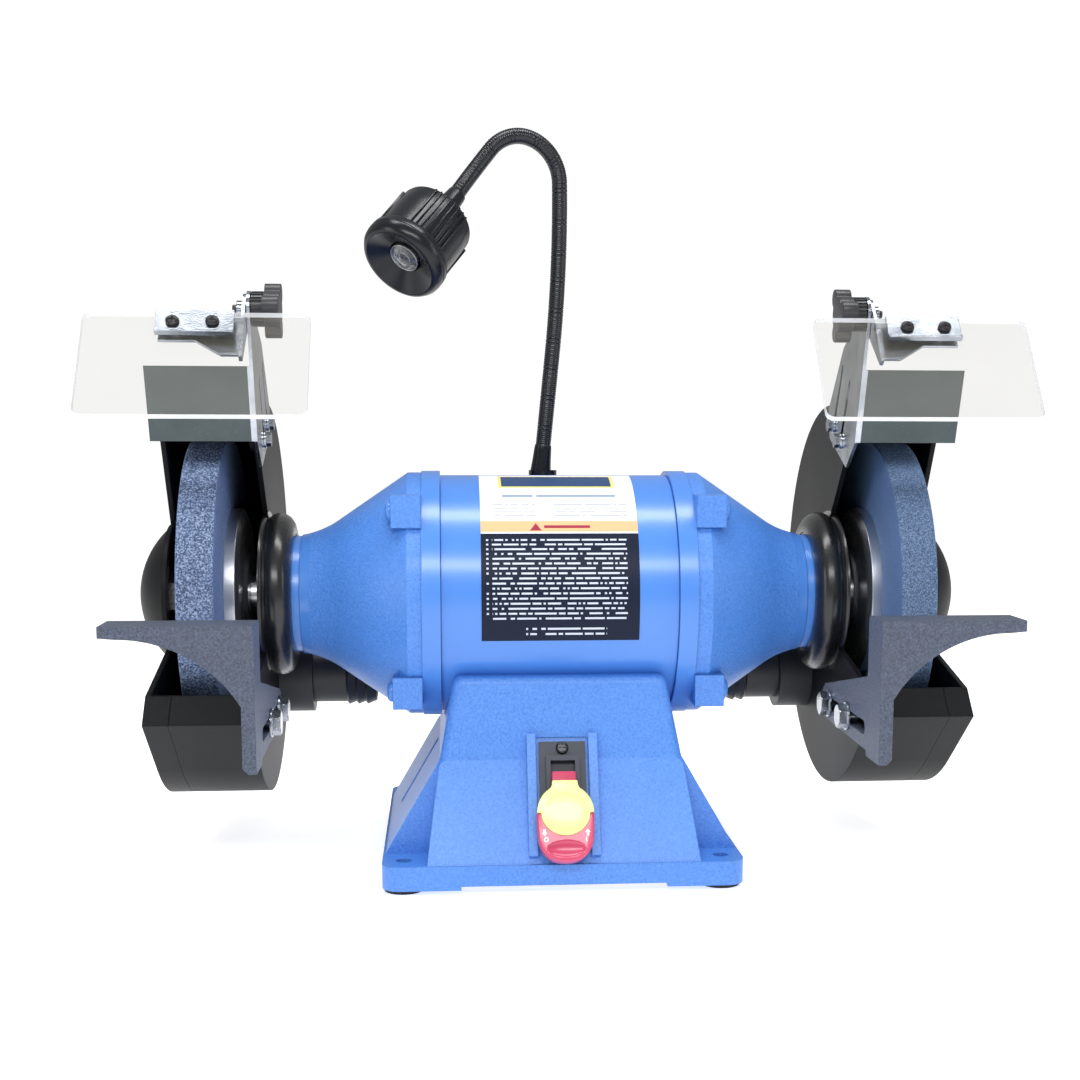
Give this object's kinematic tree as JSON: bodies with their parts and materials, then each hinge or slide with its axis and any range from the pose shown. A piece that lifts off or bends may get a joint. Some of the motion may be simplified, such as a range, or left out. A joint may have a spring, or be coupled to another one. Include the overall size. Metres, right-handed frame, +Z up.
{
  "type": "bench grinder",
  "caption": "Industrial bench grinder: cast base, enclosed motor, a guarded grinding wheel at each end, tool rests, eye shields and a flexible work lamp.",
  "frame": {"origin": "centre of the four base bolt holes, on the surface that the rubber feet stand on", "axes": "+X along the spindle to the operator's right, -Y towards the operator, +Z up"},
  "size_m": [0.69, 0.373, 0.5967],
  "materials": {
    "blue_paint": "textured semi-gloss",
    "black_paint": "textured semi-gloss",
    "black_cast": "hammered black paint",
    "zinc": "bright zinc plating",
    "machined_steel": "turned",
    "core_steel": "stacked laminations",
    "copper": "varnished wire",
    "bearing_steel": "ground",
    "coarse_grit": "coarse abrasive",
    "fine_grit": "fine abrasive",
    "feet_rubber": "matte",
    "black_plastic": "satin",
    "red_plastic": "gloss",
    "yellow_plastic": "gloss",
    "clear_sheet": "polished clear",
    "lens_glass": "polished",
    "label_film": "printed film"
  },
  "bodies": {
    "machine": {"base_casting": "blue_paint", "motor_shell": "blue_paint", "end_bell_right": "blue_paint", "end_bell_left": "blue_paint", "end_bell_screws": "blue_paint", "guard_housing_right": "black_paint", "guard_housing_left": "black_paint", "guard_cover_right": "black_paint", "guard_cover_left": "black_paint", "base_bottom_plate": "zinc", "bottom_plate_screws": "zinc", "motor_bolts": "zinc", "guard_screws": "zinc", "tool_rest_bolts": "zinc", "arm_bolts": "zinc", "wave_washer": "machined_steel", "stator_core": "core_steel", "stator_windings": "copper", "bearing_outer_rings": "bearing_steel", "rubber_feet": "feet_rubber", "cable_gland": "black_plastic", "run_capacitor": "black_plastic", "switch_plate": "black_plastic", "switch_body": "black_plastic", "switch_screw": "black_plastic", "dust_outlet_right": "black_plastic", "dust_outlet_left": "black_plastic", "lamp_socket": "black_plastic", "rating_label": "label_film"},
    "spindle": {"rotor": "core_steel", "spindle_shaft": "machined_steel", "wheel_right": "fine_grit", "wheel_left": "coarse_grit", "inner_wheel_flanges": "machined_steel", "outer_wheel_flanges": "machined_steel", "spindle_nuts": "machined_steel", "bearing_inner_rings": "bearing_steel", "bearing_balls": "bearing_steel"},
    "paddle": {"switch_paddle": "red_plastic"},
    "key": {"switch_key": "yellow_plastic"},
    "rest_right": {"tool_rest_right": "black_cast"},
    "rest_left": {"tool_rest_left": "black_cast"},
    "lamp_stem": {"lamp_neck_lower": "black_plastic"},
    "lamp_middle": {"lamp_neck_middle": "black_plastic"},
    "lamp_upper": {"lamp_neck_upper": "black_plastic"},
    "lamp_lamp": {"lamp_head": "black_plastic", "lamp_bezel": "black_plastic", "lamp_lens": "lens_glass"},
    "arm_right": {"shield_arm_right": "zinc"},
    "shield_right": {"shield_bracket_right": "zinc", "clamp_strip_right": "zinc", "eye_shield_right": "clear_sheet", "shield_screws_right": "black_plastic"},
    "knob_right": {"shield_knob_right": "black_plastic"},
    "arm_left": {"shield_arm_left": "zinc"},
    "shield_left": {"shield_bracket_left": "zinc", "clamp_strip_left": "zinc", "eye_shield_left": "clear_sheet", "shield_screws_left": "black_plastic"},
    "knob_left": {"shield_knob_left": "black_plastic"}
  },
  "joints": [
    {"name": "spindle_spin", "type": "hinge", "parent": "machine", "child": "spindle", "pos_m": [0, 0, 0.217], "axis": [1, 0, 0], "continuous": true},
    {"name": "switch_paddle_tilt", "type": "hinge", "parent": "machine", "child": "paddle", "pos_m": [0, -0.1194, 0.1009], "axis": [-1, 0, 0], "range_deg": [0, 25]},
    {"name": "switch_key_pull", "type": "slide", "parent": "paddle", "child": "key", "axis": [0, -0.9063, 0.4226], "range_m": [0, 0.02]},
    {"name": "rest_right_slide", "type": "slide", "parent": "machine", "child": "rest_right", "axis": [0, 1, 0], "range_m": [-0.01, 0.048]},
    {"name": "arm_right_slide", "type": "slide", "parent": "machine", "child": "arm_right", "axis": [0, -0.4695, 0.8829], "range_m": [-0.02, 0]},
    {"name": "shield_right_tilt", "type": "hinge", "parent": "arm_right", "child": "shield_right", "pos_m": [0.232, -0.11, 0.438], "axis": [1, 0, 0], "range_deg": [-75, 20]},
    {"name": "knob_right_turn", "type": "hinge", "parent": "shield_right", "child": "knob_right", "pos_m": [0.232, -0.11, 0.438], "axis": [1, 0, 0], "range_deg": [0, 270]},
    {"name": "rest_left_slide", "type": "slide", "parent": "machine", "child": "rest_left", "axis": [0, 1, 0], "range_m": [-0.01, 0.048]},
    {"name": "arm_left_slide", "type": "slide", "parent": "machine", "child": "arm_left", "axis": [0, -0.4695, 0.8829], "range_m": [-0.02, 0]},
    {"name": "shield_left_tilt", "type": "hinge", "parent": "arm_left", "child": "shield_left", "pos_m": [-0.232, -0.11, 0.438], "axis": [1, 0, 0], "range_deg": [-75, 20]},
    {"name": "knob_left_turn", "type": "hinge", "parent": "shield_left", "child": "knob_left", "pos_m": [-0.232, -0.11, 0.438], "axis": [1, 0, 0], "range_deg": [0, 270]},
    {"name": "lamp_swivel", "type": "hinge", "parent": "machine", "child": "lamp_stem", "pos_m": [-0.005, 0.06, 0.317], "axis": [0, 0, 1], "range_deg": [-90, 90]},
    {"name": "lamp_lower_bend", "type": "hinge", "parent": "lamp_stem", "child": "lamp_middle", "pos_m": [0.0031, 0.06, 0.413], "axis": [0, 1, 0], "range_deg": [-25, 25]},
    {"name": "lamp_crook_bend", "type": "hinge", "parent": "lamp_middle", "child": "lamp_upper", "pos_m": [-0.0187, 0.045, 0.5901], "axis": [0, 1, 0], "range_deg": [-25, 25]},
    {"name": "lamp_head_tilt", "type": "hinge", "parent": "lamp_upper", "child": "lamp_lamp", "pos_m": [-0.092, 0.01, 0.521], "axis": [0.746, -0.666, 0], "range_deg": [-25, 25]}
  ]
}
